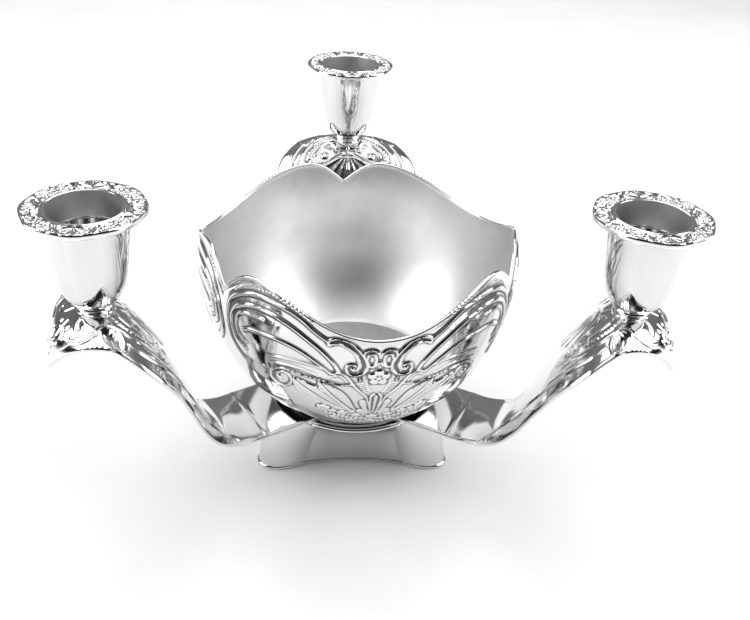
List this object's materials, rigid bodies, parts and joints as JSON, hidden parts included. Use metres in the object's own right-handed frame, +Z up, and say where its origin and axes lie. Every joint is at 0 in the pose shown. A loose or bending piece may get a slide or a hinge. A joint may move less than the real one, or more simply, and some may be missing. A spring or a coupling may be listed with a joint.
{
  "type": "candelabrum centrepiece",
  "caption": "Table centrepiece with leaf-shaped arms that carry candle cups round a central three-panel bowl on a triform foot.",
  "frame": {"origin": "on the table, under the central stud", "axes": "+Z up along the stud and the bowl's axis, +Y towards the back arm, -Y towards the front between the other two arms"},
  "size_m": [0.2054, 0.1877, 0.1233],
  "materials": {
    "silver_foot": "polished silver plate",
    "silver_arm": "polished silver plate with stamped relief",
    "silver_cup": "polished silver plate",
    "silver_bowl": "polished and stamped outside, satin inside",
    "satin_silver": "satin silver plate",
    "plain_steel": "plain turned steel"
  },
  "bodies": {
    "stand": {"foot": "silver_foot", "arm_back": "silver_arm", "arm_left": "silver_arm", "arm_right": "silver_arm", "hub_plate": "plain_steel", "arm_rivets": "plain_steel", "cup_back": "silver_cup", "cup_left": "silver_cup", "cup_right": "silver_cup", "cup_washer_back": "plain_steel", "cup_washer_left": "plain_steel", "cup_washer_right": "plain_steel", "cup_screw_back": "plain_steel", "cup_screw_left": "plain_steel", "cup_screw_right": "plain_steel"},
    "bowl": {"bowl": "silver_bowl", "bowl_floor": "satin_silver", "bowl_seat": "plain_steel", "centre_stud": "plain_steel", "stud_washer": "plain_steel", "stud_nut": "plain_steel"},
    "nozzle_back": {"nozzle_back": "silver_cup"},
    "nozzle_left": {"nozzle_left": "silver_cup"},
    "nozzle_right": {"nozzle_right": "silver_cup"}
  },
  "joints": [
    {"name": "bowl_swivel", "type": "hinge", "parent": "stand", "child": "bowl", "pos_m": [0, 0, 0.0286], "axis": [0, 0, 1], "continuous": true},
    {"name": "nozzle_back_lift", "type": "slide", "parent": "stand", "child": "nozzle_back", "axis": [0, 0, 1], "range_m": [0, 0.02]},
    {"name": "nozzle_left_lift", "type": "slide", "parent": "stand", "child": "nozzle_left", "axis": [0, 0, 1], "range_m": [0, 0.02]},
    {"name": "nozzle_right_lift", "type": "slide", "parent": "stand", "child": "nozzle_right", "axis": [0, 0, 1], "range_m": [0, 0.02]}
  ]
}
